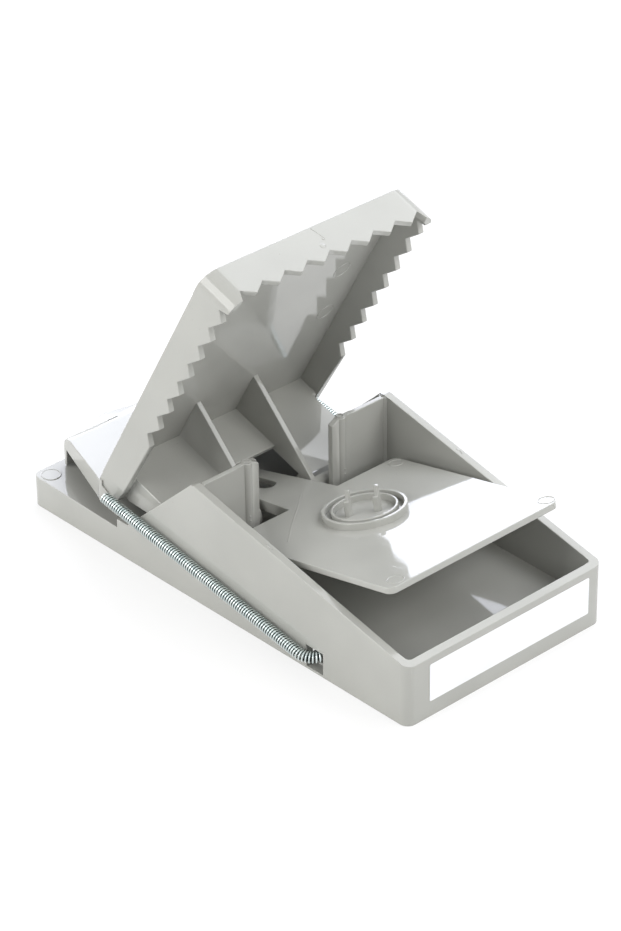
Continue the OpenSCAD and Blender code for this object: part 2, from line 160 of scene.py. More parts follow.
class Graph:
    """The node tree of one material or of the world."""

    def __init__(self, owner: bpy.types.Material | bpy.types.World) -> None:
        """Starts from an empty tree.

        Args:
            owner: what the tree belongs to.
        """
        owner.use_nodes = True
        self.tree = owner.node_tree
        self.tree.nodes.clear()

    def node(self, kind: str, settings: dict | None = None, inputs: dict | None = None) -> bpy.types.Node:
        """Adds a node.

        Args:
            kind: the node's type.
            settings: its own properties, set first.
            inputs: values or links of its sockets, by name or number.

        Returns:
            The new node.
        """
        made = self.tree.nodes.new(kind)
        for key, value in (settings or {}).items():
            setattr(made, key, value)
        for key, value in (inputs or {}).items():
            if isinstance(value, Signal):
                value = value.socket
            if isinstance(value, bpy.types.NodeSocket):
                self.tree.links.new(value, made.inputs[key])
            else:
                made.inputs[key].default_value = value
        return made

    def place(
        self, shift: Vector = Vector(), turn: Vector = Vector(), scale: Vector = Vector((1, 1, 1)),
    ) -> bpy.types.NodeSocket:
        """Object coordinates, shifted, turned and scaled.

        Args:
            shift: move in metres.
            turn: turn about each axis in degrees.
            scale: stretch of the coordinates.

        Returns:
            The vector socket.
        """
        coord = self.node("ShaderNodeTexCoord")
        mapping = self.node("ShaderNodeMapping", inputs={
            "Vector": coord.outputs["Object"], "Location": shift,
            "Rotation": [math.radians(v) for v in turn], "Scale": scale,
        })
        return mapping.outputs[0]

    def noise(
        self, vector: bpy.types.NodeSocket, scale: float, detail: float = 2.0, distortion: float = 0.0,
    ) -> Signal:
        """Cloudy noise.

        Args:
            vector: coordinates.
            scale: cells in a metre.
            detail: octaves.
            distortion: how far the pattern is stirred.

        Returns:
            The value, about 0.5.
        """
        made = self.node("ShaderNodeTexNoise", inputs={
            "Vector": vector, "Scale": scale, "Detail": detail, "Distortion": distortion,
        })
        return Signal(self, made.outputs[0])

    def band(self, value: Signal, low: float, high: float) -> Signal:
        """A smooth step.

        Args:
            value: what is stepped.
            low: where the step starts, at 0.
            high: where it ends, at 1.

        Returns:
            The step.
        """
        made = self.node("ShaderNodeMapRange", {"interpolation_type": "SMOOTHSTEP"}, {
            "Value": value, "From Min": low, "From Max": high,
        })
        return Signal(self, made.outputs[0])

    def specks(self, vector: bpy.types.NodeSocket, scale: float, size: float, share: float) -> Signal:
        """Small round specks, some cells of a pattern holding one.

        Args:
            vector: coordinates.
            scale: cells in a metre.
            size: speck radius as a share of a cell.
            share: share of the cells with a speck.

        Returns:
            A mask, 1 inside a speck.
        """
        cell = self.node("ShaderNodeTexVoronoi", inputs={"Vector": vector, "Scale": scale})
        parts = self.node("ShaderNodeSeparateColor", inputs={0: cell.outputs["Color"]})
        chosen = self.band(Signal(self, parts.outputs[0]), 1 - share, 1 - share + 0.01)
        near = 1 - self.band(Signal(self, cell.outputs["Distance"]), size * 0.6, size)
        return near * chosen

    def blend(
        self, share: Signal, first: bpy.types.NodeSocket | tuple, second: bpy.types.NodeSocket | tuple,
    ) -> bpy.types.NodeSocket:
        """A mix of two colours.

        Args:
            share: how much of the second.
            first: colour or colour socket.
            second: colour or colour socket.

        Returns:
            The colour socket.
        """
        made = self.node("ShaderNodeMix", {"data_type": "RGBA"}, {0: share, 6: first, 7: second})
        return made.outputs[2]

    def bump(self, height: Signal, depth: float) -> bpy.types.NodeSocket:
        """Relief.

        Args:
            height: 0 to 1.
            depth: what 1 stands for, in metres.

        Returns:
            The normal socket.
        """
        made = self.node("ShaderNodeBump", inputs={"Height": height, "Distance": depth, "Strength": 1.0})
        return made.outputs[0]

    def finish(self, settings: dict) -> None:
        """Adds the main shader and the output.

        Args:
            settings: values or links of the shader's sockets, by name.
        """
        shader = self.node("ShaderNodeBsdfPrincipled", inputs=settings)
        self.node("ShaderNodeOutputMaterial", inputs={"Surface": shader.outputs[0]})


def rgb(*parts: float) -> tuple[float, float, float, float]:
    """A colour with full alpha."""
    return (*parts, 1.0)


@dataclass(frozen=True)
class MouldedPlastic:
    """Glossy grey injection moulding, with faint waves, haze, hair scratches and dust.

    Each pattern's size is given as its cells in a metre.
    """

    name: str
    shift: tuple[float, float, float]
    colour: tuple[float, float, float] = (0.375, 0.375, 0.351)
    shade: tuple[float, float, float] = (0.345, 0.346, 0.323)
    dust: tuple[float, float, float] = (0.22, 0.21, 0.19)
    roughness: float = 0.045
    glaze: float = 1.5
    cloud_cells: float = 32
    haze_cells: float = 75
    wave_cells: float = 58
    peel_cells: float = 620
    grain_cells: float = 5200
    dust_cells: float = 330
    scratch_turns: tuple[float, float] = (28.0, -54.0)
    scratch_tilt: tuple[float, float] = (20.0, 35.0)
    scratch_cells: tuple[float, float, float] = (14.0, 900.0, 900.0)
    patch_cells: float = 40
    relief: float = 0.07 * MM

    def material(self) -> bpy.types.Material:
        """Makes the material.

        Returns:
            The grey plastic.
        """
        made = bpy.data.materials.new(self.name)
        g = Graph(made)
        here = g.place(Vector(self.shift))
        cloud = g.noise(here, self.cloud_cells, 2)
        haze = g.band(g.noise(here, self.haze_cells, 4, 1.1), 0.5, 0.72)
        peel = g.noise(here, self.peel_cells, 2)
        grain = g.noise(here, self.grain_cells, 1)
        first, second = self.scratch_turns
        hair = self.scratches(g, first) + self.scratches(g, second)
        dust = g.specks(here, self.dust_cells, 0.055, 0.16)
        tone = g.band(cloud * 0.82 + grain * 0.18, 0.36, 0.68)
        colour = g.blend(tone, rgb(*self.colour), rgb(*self.shade))
        colour = g.blend(dust * 0.55, colour, rgb(*self.dust))
        rough = self.roughness + haze * 0.05 + hair * 0.14 + grain * 0.02
        wave = g.noise(here, self.wave_cells, 1)
        height = wave * 0.8 + peel * 0.035 + dust * 0.12 - hair * 0.03
        g.finish({
            "Base Color": colour, "Roughness": rough, "IOR": self.glaze,
            "Normal": g.bump(height, self.relief),
        })
        return made

    def scratches(self, g: Graph, turn: float) -> Signal:
        """Fine straight scratches.

        Args:
            g: the material's graph.
            turn: their direction in degrees.

        Returns:
            A mask.
        """
        turned = Vector((*self.scratch_tilt, turn))
        along = g.place(Vector(self.shift), turned, Vector(self.scratch_cells))
        thin = g.band(g.noise(along, 1.0, 1), 0.735, 0.76)
        patches = g.band(g.noise(g.place(Vector(self.shift) * 3), self.patch_cells, 1), 0.55, 0.65)
        return thin * patches


@dataclass(frozen=True)
class ZincWire:
    """Zinc-plated spring wire, cool and bright outside the coil, with painted shade darkening it towards
    the coil's inside.
    """

    name: str = "zinc_wire"
    inner_side: str = "inner_side"
    colour: tuple[float, float, float] = (0.74, 0.80, 0.79)
    dull: tuple[float, float, float] = (0.58, 0.66, 0.66)
    # Near-black painted shade for the inside of the coil, where the turns shade each other.
    inner_shade_colour: tuple[float, float, float] = (0.020, 0.040, 0.042)
    roughness: float = 0.16
    patch_cells: float = 420
    grain_cells: float = 6000
    relief: float = 0.006 * MM

    def material(self) -> bpy.types.Material:
        """Makes the material.

        Returns:
            The plated wire, which reads the spring's own inner_side attribute.
        """
        made = bpy.data.materials.new(self.name)
        g = Graph(made)
        here = g.place()
        patch = g.band(g.noise(here, self.patch_cells, 3), 0.4, 0.68)
        grain = g.noise(here, self.grain_cells, 2)
        marked = g.node("ShaderNodeAttribute", {"attribute_name": self.inner_side})
        # Painted shade: the inner_side value blends the wire towards near-black on the coil's inside.
        inner = Signal(g, marked.outputs["Fac"])
        zinc = g.blend(patch, rgb(*self.colour), rgb(*self.dull))
        g.finish({
            "Base Color": g.blend(inner, zinc, rgb(*self.inner_shade_colour)), "Metallic": 1.0,
            "Roughness": self.roughness + patch * 0.12 + grain * 0.06,
            "Normal": g.bump(grain, self.relief),
        })
        return made


@dataclass(frozen=True)
class BlankPaper:
    """The blank white sticker's smooth paper, with faint fibres."""

    name: str = "blank_paper"
    colour: tuple[float, float, float] = (0.80, 0.80, 0.815)
    shade: tuple[float, float, float] = (0.74, 0.745, 0.77)
    fibre_cells: float = 3800
    cloud_cells: float = 120
    wave_cells: float = 95
    relief: float = 0.02 * MM

    def material(self) -> bpy.types.Material:
        """Makes the material.

        Returns:
            The white paper.
        """
        made = bpy.data.materials.new(self.name)
        g = Graph(made)
        fibres = g.noise(g.place(scale=Vector((1, 0.35, 1.4))), self.fibre_cells, 3, 0.8)
        cloud = g.band(g.noise(g.place(), self.cloud_cells, 2), 0.35, 0.75)
        wave = g.noise(g.place(), self.wave_cells, 1)
        tone = (cloud * 0.6 + fibres * 0.4).at_most(1.0)
        g.finish({
            "Base Color": g.blend(tone, rgb(*self.colour), rgb(*self.shade)),
            "Roughness": 0.38 + fibres * 0.2,
            "Normal": g.bump(fibres * 0.6 + wave * 0.4, self.relief),
        })
        return made


@dataclass
class EdgeRounding:
    """Small round on every outer edge of a moulding that has room for it.

    Angles are in degrees, apart from level_angle, which is in radians. Room and fold_reach are
    shares of the radius, and fold_turn is the cosine below which a face counts as folded.
    """

    radius: float = 0.00028
    segments: int = 2
    least_angle: float = 28.0
    level_angle: float = 0.02
    merge_gap: float = 0.000002
    flat_angle: float = 0.4
    end_part: float = 0.003
    passes: int = 7
    room: float = 2.2
    fold_reach: float = 1.2
    fold_turn: float = 0.2
    least_area: float = 1e-11
    corner_share: float = 0.001
    edge_slack: float = 1e-4
    least_step: float = 1e-9
    most_faces: int = 6
    parallel: float = 1e-14
    level: float = 1e-12
    tiny: float = 1e-18

    def apply(self, source: bmesh.types.BMesh) -> bmesh.types.BMesh:
        """Rounds the edges, and leaves out the parts beside which a trial round folds over.

        Args:
            source: a closed mesh of loose triangles, which is merged.

        Returns:
            The rounded mesh.
        """
        bmesh.ops.remove_doubles(source, verts=source.verts[:], dist=self.merge_gap)
        bmesh.ops.dissolve_limit(
            source, angle_limit=math.radians(self.flat_angle), use_dissolve_boundaries=False,
            verts=source.verts[:], edges=source.edges[:], delimit=set(),
        )
        source.normal_update()
        tree = BVHTree.FromBMesh(source)
        wanted = {part for e in source.edges[:] if self.has_room(e) for part in self.parts(e)}
        source.edges.index_update()
        chosen = {e.index for e in wanted}
        for left in reversed(range(self.passes)):
            trial = source.copy()
            trial.edges.ensure_lookup_table()
            edges = [trial.edges[i] for i in sorted(chosen)]
            bmesh.ops.bevel(
                trial, geom=edges, offset=self.radius, offset_type="OFFSET", segments=self.segments,
                profile=0.5, affect="EDGES", material=-1, clamp_overlap=False,
            )
            trial.normal_update()
            folded = [
                f.calc_center_median() for f in trial.faces
                if len(f.verts) < 5 and self.folds(f, tree)
            ]
            near = self.fold_reach * self.radius
            crossed = [place for f in trial.faces if len(f.verts) > 4 for place in self.crossings(f)]
            left_out = {
                e.index for e in source.edges if e.index in chosen
                and (self.beside(e, folded, near) or self.beside(e, crossed, 2 * near))
            }
            # The last trial is used as it is, even where it still folds.
            if not left_out or not left:
                break
            chosen -= left_out
            trial.free()
        spared = len(wanted) - len(chosen)
        log.info("rounding left out %d of %d edges, %d crossings", spared, len(wanted), len(crossed))
        source.free()
        return trial

    def parts(self, edge: bmesh.types.BMEdge) -> list[bmesh.types.BMEdge]:
        """Cuts a short part off both ends of a long edge, so that it can be left out alone.

        Args:
            edge: a sharp edge.

        Returns:
            The edge and the parts cut from it.
        """
        length = edge.calc_length()
        if length < 4 * self.end_part:
            return [edge]
        first, middle = edge.verts[:]
        made, _ = bmesh.utils.edge_split(edge, first, self.end_part / length)
        rest = max(edge, made, key=lambda e: e.calc_length())
        end = next(v for v in rest.verts if v is middle)
        other, _ = bmesh.utils.edge_split(rest, end, self.end_part / rest.calc_length())
        return [edge, made, other]

    def crossings(self, face: bmesh.types.BMFace) -> list[Vector]:
        """Finds where the outline of a face crosses itself.

        Args:
            face: a face with many corners.

        Returns:
            The crossings.
        """
        found = []
        up = face.normal
        low, high = self.corner_share, 1 - self.corner_share
        sides = [(loop.vert.co, loop.link_loop_next.vert.co - loop.vert.co) for loop in face.loops]
        for i, (start, run) in enumerate(sides):
            for corner, way in sides[i + 2:]:
                slant = run.cross(way).dot(up)
                if abs(slant) < self.parallel:
                    continue
                gap = corner - start
                along = gap.cross(way).dot(up) / slant
                if low < along < high and low < gap.cross(run).dot(up) / slant < high:
                    found.append(start + along * run)
        return found

    def folds(self, face: bmesh.types.BMFace, tree: BVHTree) -> bool:
        """Tells whether a rounded face has folded over.

        Args:
            face: a face of the trial round.
            tree: the surface that it came from.

        Returns:
            True where the face points against that surface.
        """
        _, normal, _, _ = tree.find_nearest(face.calc_center_median())
        return face.calc_area() > self.least_area and face.normal.dot(normal) < self.fold_turn

    def beside(self, edge: bmesh.types.BMEdge, places: list[Vector], near: float) -> bool:
        """Tells whether a short edge passes near one of the places.

        Args:
            edge: an edge of the unrounded mesh.
            places: centres of folded faces, or crossings of outlines.
            near: how near counts, in metres.

        Returns:
            True where it does. A long edge never counts.
        """
        start, end = (v.co for v in edge.verts)
        run = end - start
        if run.length > 4 * self.end_part:
            return False
        for place in places:
            share = (place - start).dot(run) / max(run.length_squared, self.tiny)
            if (start + run * max(0.0, min(1.0, share)) - place).length < near:
                return True
        return False

    def has_room(self, edge: bmesh.types.BMEdge) -> bool:
        """Tells whether an edge is sharp, turns outwards and has wide enough faces.

        Args:
            edge: an edge of the unrounded mesh.

        Returns:
            True where it can be rounded.
        """
        if not edge.is_manifold or not edge.is_convex:
            return False
        if edge.calc_face_angle() < math.radians(self.least_angle):
            return False
        wide = self.room * self.radius
        return all(self.reach(loop, wide) >= wide for loop in edge.link_loops)

    def reach(self, loop: bmesh.types.BMLoop, limit: float) -> float:
        """How far a face and its level neighbours reach square to one of its edges.

        Args:
            loop: the edge's loop in the face.
            limit: where measuring stops.

        Returns:
            The least reach in metres, at most the limit.
        """
        start, end = loop.vert.co, loop.link_loop_next.vert.co
        inward = loop.face.normal.cross(end - start).normalized()
        return min(self.walk(loop, start.lerp(end, share), inward, limit) for share in (0.1, 0.5, 0.9))

    def walk(self, loop: bmesh.types.BMLoop, start: Vector, inward: Vector, limit: float) -> float:
        """Walks straight over level faces, from an edge to the next sharp one.

        Args:
            loop: the edge's loop in its first face.
            start: where the walk starts on the edge.
            inward: its direction.
            limit: where measuring stops.

        Returns:
            The length of the walk in metres, at most the limit.
        """
        face, came, run = loop.face, loop.edge, 0.0
        for _ in range(self.most_faces):
            hits = []
            for edge in face.edges:
                if edge is came:
                    continue
                corner = edge.verts[0].co
                way = edge.verts[1].co - corner
                slant = inward.cross(way).dot(face.normal)
                if abs(slant) < self.level:
                    continue
                gap = corner - start
                ahead = gap.cross(way).dot(face.normal) / slant
                share = gap.cross(inward).dot(face.normal) / slant
                if ahead > self.least_step and -self.edge_slack <= share <= 1 + self.edge_slack:
                    hits.append((ahead, edge.index, edge))
            if not hits:
                return limit
            ahead, _, edge = min(hits, key=lambda hit: hit[:2])
            run += ahead
            if run >= limit:
                return limit
            if not edge.is_manifold or edge.calc_face_angle() > self.level_angle:
                return run
            start = start + inward * ahead
            face = next(f for f in edge.link_faces if f is not face)
            came = edge
        return limit


class Bench:
    """Shapes that several pieces share, as bmesh operations."""

    RIDGE_SIDES = 8
    ARC_STEP = 9.0
    PIP_PARTS = (14, 8)

    @staticmethod
    def ring(
        bm: bmesh.types.BMesh, place: Matrix, radius: float, width: float, rise: float,
        sweep: float = 360.0,
    ) -> None:
        """A fine raised ring or arc, like the mark of an ejector pin.

        Args:
            bm: the mesh that it goes into.
            place: its centre, with Z along the surface's normal.
            radius: radius of the ring.
            width: width of its ridge.
            rise: how far it stands out.
            sweep: length of the arc in degrees, centred on local X.
        """
        start = Matrix.Rotation(math.radians(-sweep / 2), 4, "Z")
        section = Matrix.Translation((radius, 0, 0)) @ Matrix.Rotation(math.pi / 2, 4, "X")
        flat = Matrix.Diagonal((width / 2, rise * 2, 1, 1))
        shape = place @ start @ section @ flat
        made = bmesh.ops.create_circle(bm, segments=Bench.RIDGE_SIDES, radius=1.0, matrix=shape)
        edges = list({e for v in made["verts"] for e in v.link_edges})
        full = sweep >= 360.0
        turn = place.to_3x3().normalized()
        bmesh.ops.spin(
            bm, geom=made["verts"] + edges, cent=place.translation, axis=turn @ UPWARD,
            angle=math.radians(sweep), steps=round(sweep / Bench.ARC_STEP), use_merge=full,
            use_duplicate=False,
        )
        if not full:
            loose = [e for e in bm.edges if e.is_boundary]
            bmesh.ops.holes_fill(bm, edges=loose, sides=0)

    @staticmethod
    def pip(bm: bmesh.types.BMesh, place: Matrix, radius: float, rise: float) -> None:
        """A small smooth pip, sunk halfway into its surface.

        Args:
            bm: the mesh that it goes into.
            place: its centre, with Z along the surface's normal.
            radius: its radius on the surface.
            rise: how far it stands out.
        """
        around, down = Bench.PIP_PARTS
        shape = place @ Matrix.Diagonal((radius, radius, rise, 1))
        bmesh.ops.create_uvsphere(bm, u_segments=around, v_segments=down, radius=1.0, matrix=shape)

    @staticmethod
    def wire(bm: bmesh.types.BMesh, path: list[Vector], radius: float, sides: int, side: Vector) -> None:
        """Round wire drawn along a path, closed at both ends.

        Args:
            bm: the mesh that it goes into.
            path: its centre line.
            radius: radius of the wire.
            sides: sides of its section.
            side: a direction that the wire never runs along.
        """
        def ring_at(i: int) -> Matrix:
            """Frame square to the path.

            Args:
                i: number of the point on the path.

            Returns:
                The frame, with Z along the wire.
            """
            ahead = (path[min(i + 1, len(path) - 1)] - path[max(i - 1, 0)]).normalized()
            across = side.cross(ahead).normalized()
            square = Matrix((across, ahead.cross(across), ahead)).transposed().to_4x4()
            square.translation = path[i]
            return square

        made = bmesh.ops.create_circle(
            bm, cap_ends=True, segments=sides, radius=radius, matrix=ring_at(0),
        )
        ring = made["verts"]
        edges = list({e for v in ring for e in v.link_edges})
        last = ring_at(0)
        for i in range(1, len(path)):
            grown = bmesh.ops.extrude_edge_only(bm, edges=edges)["geom"]
            ring = [g for g in grown if isinstance(g, bmesh.types.BMVert)]
            fresh = set(ring)
            edges = [
                g for g in grown
                if isinstance(g, bmesh.types.BMEdge) and g.verts[0] in fresh and g.verts[1] in fresh
            ]
            now = ring_at(i)
            bmesh.ops.transform(bm, matrix=now @ last.inverted(), verts=ring)
            last = now
        bmesh.ops.edgeloop_fill(bm, edges=edges)


@dataclass
class Piece:
    """A named piece of the trap, from its mesh to its place in the assembly.

    The body's name is empty for a piece that rides on no body.
    """

    name: str
    body: str
    finish: bpy.types.Material
    slot: str
    nodes: tuple[str, ...] = ()
    sharp_angle: float = 40.0

    def build(self, bm: bmesh.types.BMesh, level: bool = True) -> bpy.types.Object:
        """Turns a mesh into the piece's object, which rides on its body.

        Args:
            bm: the finished mesh, in the trap's frame.
            level: keeps broad flat faces flat beside their rounded edges.

        Returns:
            The object.
        """
        mesh = bpy.data.meshes.new(self.name)
        for face in bm.faces:
            face.smooth = True
            face.material_index = 0
        bm.to_mesh(mesh)
        bm.free()
        mesh.set_sharp_from_angle(angle=math.radians(self.sharp_angle))
        mesh.materials.clear()
        mesh.materials.append(self.finish)
        made = bpy.data.objects.new(self.name, mesh)
        bpy.context.scene.collection.objects.link(made)
        if level:
            weighted = made.modifiers.new("level_faces", "WEIGHTED_NORMAL")
            weighted.keep_sharp = True
            weighted.weight = 100
        if self.body:
            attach(made, self.body)
        if self.nodes:
            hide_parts(*self.nodes)
        return made


def copy_of(node: str) -> bmesh.types.BMesh:
    """Copies a node's solid.

    Args:
        node: the node's name.

    Returns:
        A mesh of loose triangles.
    """
    bm = bmesh.new()
    bm.from_mesh(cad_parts[node].data)
    return bm


@dataclass
class Moulding:
    """A plastic moulding: the CAD shape with rounded edges, and the marks of its mould."""

    node: str
    body: Body
    lay: Lay
    finish: bpy.types.Material
    slot: str
    rounding: EdgeRounding = field(default_factory=EdgeRounding)
    pin_r: float = 2.9 * MM
    pin_width: float = 0.32 * MM
    pin_rise: float = 0.07 * MM

    def build(self) -> list[bpy.types.Object]:
        """Builds the piece and dresses it.

        Returns:
            The piece's object.
        """
        bm = self.rounding.apply(copy_of(self.node))
        marks = bmesh.new()
        self.mark(marks)
        bmesh.ops.recalc_face_normals(marks, faces=marks.faces[:])
        loose = bpy.data.meshes.new("marks")
        marks.to_mesh(loose)
        marks.free()
        bm.from_mesh(loose)
        bpy.data.meshes.remove(loose)
        piece = Piece(f"{self.node}_moulding", self.body.value, self.finish, self.slot, (self.node,))
        return [piece.build(bm)]

    def on(self, x: float, y: float, z: float, up: Vector = UPWARD) -> Matrix:
        """Frame on a surface of the moulding.

        Args:
            x: place in the level drawing, in millimetres.
            y: place across.
            z: height.
            up: the surface's normal in the level drawing.

        Returns:
            The frame in the trap's own frame.
        """
        turn = up.to_track_quat("Z", "Y").to_matrix().to_4x4()
        return self.lay.matrix() @ Matrix.Translation(at(x, y, z)) @ turn

    def pin(self, bm: bmesh.types.BMesh, place: Matrix, radius: float = 0.0, sweep: float = 360.0) -> None:
        """One ejector mark, of the usual radius unless another is given."""
        Bench.ring(bm, place, radius or self.pin_r, self.pin_width, self.pin_rise, sweep)

    def arc(
        self, bm: bmesh.types.BMesh, place: Matrix, towards: Vector, radius: float, sweep: float,
    ) -> None:
        """Part of an ejector mark, where its pin met the edge of a narrow face.

        Args:
            bm: the mesh that it goes into.
            place: centre of the pin on the face.
            towards: direction of the middle of the arc.
            radius: radius of the pin.
            sweep: length of the arc in degrees.
        """
        up = place.col[2].to_3d()
        along = (towards - up * towards.dot(up)).normalized()
        turned = Matrix((along, up.cross(along), up)).transposed().to_4x4()
        turned.translation = place.translation
        self.pin(bm, turned, radius, sweep)

    def mark(self, bm: bmesh.types.BMesh) -> None:
        """Adds the mould marks of this piece, in the classes that have any."""


@dataclass
class TrapBase(Moulding):
    """The tray with its deck, side walls and partitions.

    Places are in millimetres: from the rear edge, from the middle and from the underside.
    """

    deck_pin: tuple[float, float, float] = (4.2, 34.0, 9.92)
    inner_post: tuple[float, float, float] = (73.9, 18.2, 38.6)
    outer_post: tuple[float, float, float] = (73.9, 35.9, 38.35)
    inner_post_r: float = 1.05 * MM
    outer_post_r: float = 1.0 * MM
    post_pip: tuple[float, float] = (75.5, 18.5)
    pip_heights: tuple[float, float] = (19.6, 21.0)
    rim_run: tuple[float, float] = (85.5, 19.2)
    rim_pip: tuple[float, float, float] = (103.4, 37.0, 32.11)
    rim_arc: tuple[float, float, float] = (104.0, 34.7, 31.98)
    front_arc: tuple[float, float, float] = (156.5, 32.4, 19.4)
    arc_r: float = 2.3 * MM
    rim_arc_sweep: float = 72.0
    front_arc_sweep: float = 84.0
    rim_pip_size: tuple[float, float] = (0.5 * MM, 0.12 * MM)
    post_pip_size: tuple[float, float] = (0.3 * MM, 0.25 * MM)

    def mirrored(self, place: tuple[float, float, float], side: int, up: Vector = UPWARD) -> Matrix:
        """Frame at a place, or at its mirror image where side is -1."""
        return self.on(place[0], side * place[1], place[2], up)

    def mark(self, bm: bmesh.types.BMesh) -> None:
        """Pins on the deck and posts, arcs and pips on the rims, two pips on each inner post.

        Args:
            bm: the mesh that they go into.
        """
        length, drop = self.rim_run
        slope = Vector((drop, 0, length)).normalized()
        for s in (-1, 1):
            self.pin(bm, self.mirrored(self.deck_pin, s))
            self.pin(bm, self.mirrored(self.inner_post, s), self.inner_post_r)
            self.pin(bm, self.mirrored(self.outer_post, s), self.outer_post_r)
            Bench.pip(bm, self.mirrored(self.rim_pip, s, slope), *self.rim_pip_size)
            rim, front = self.mirrored(self.rim_arc, s, slope), self.mirrored(self.front_arc, s)
            self.arc(bm, rim, Vector((0, s, 0)), self.arc_r, self.rim_arc_sweep)
            self.arc(bm, front, Vector((1, 0, 0)), self.arc_r, self.front_arc_sweep)
            for height in self.pip_heights:
                Bench.pip(bm, self.mirrored((*self.post_pip, height), s), *self.post_pip_size)


@dataclass
class Jaw(Moulding):
    """The toothed jaw with its web, hinge and pedal.

    Places are in millimetres from the hinge, with the jaw lying level.
    """

    back_z: float = 32.6
    back_pins: tuple[tuple[float, float], ...] = ((34.9, 29.1), (57.2, 25.7))
    scar: tuple[tuple[float, float, float], ...] = (
        (88.42, 0.7, 33.9), (88.75, 1.25, 31.9), (89.18, 1.7, 29.4),
    )
    scar_r: float = 0.14 * MM
    gate: tuple[float, float, float] = (89.22, 1.2, 29.1)
    gate_size: tuple[float, float] = (0.45 * MM, 0.22 * MM)
    drop: tuple[float, float, float] = (89.56, -0.7, 27.1)
    drop_size: tuple[float, float] = (0.95 * MM, 0.16 * MM)
    front_normal: tuple[float, float, float] = (0.9862, 0.0, 0.1657)

    def mark(self, bm: bmesh.types.BMesh) -> None:
        """The scar of the gate on the front wall, and pins inside the back.

        Args:
            bm: the mesh that they go into.
        """
        for s in (-1, 1):
            for x, y in self.back_pins:
                self.pin(bm, self.on(x, s * y, self.back_z, Vector((0, 0, -1))))
        path = [self.on(*place).translation for place in self.scar]
        Bench.wire(bm, path, self.scar_r, 8, Vector((1, 0, 0)))
        lean = Vector(self.front_normal)
        Bench.pip(bm, self.on(*self.gate, lean), *self.gate_size)
        Bench.pip(bm, self.on(*self.drop, lean), *self.drop_size)


@dataclass
class BaitPlate(Moulding):
    """The tilted plate with its tongue, cup and bait pins.

    Places are in millimetres from the pivot, with the plate lying level.
    """

    top: float = 4.58
    rear_pin: tuple[float, float] = (2.6, 29.3)
    rear_pin_r: float = 2.2 * MM
    front_pin: tuple[float, float] = (62.8, 29.1)
    front_pin_r: float = 2.4 * MM
    front_shift: float = 1.7
    weld: tuple[tuple[float, float], ...] = (
        (-6.3, -0.2), (-0.2, -6.8), (4.0, -11.8), (7.9, -16.4), (12.5, -21.3), (16.0, -25.0),
    )
    weld_r: float = 0.9
    weld_sunk: float = 0.85
    weld_sides: int = 44

    def mark(self, bm: bmesh.types.BMesh) -> None:
        """Pins at the four corners and a faint weld line across the plate.

        Args:
            bm: the mesh that they go into.
        """
        for s in (-1, 1):
            x, y = self.rear_pin
            self.pin(bm, self.on(x, s * y, self.top), self.rear_pin_r)
            x, y = self.front_pin
            self.pin(bm, self.on(x, s * y + self.front_shift, self.top), self.front_pin_r)
        path = [self.on(x, y, self.top - self.weld_sunk).translation for x, y in self.weld]
        Bench.wire(bm, path, self.weld_r * MM, self.weld_sides, Vector((0.7, 0.7, 0.1)))


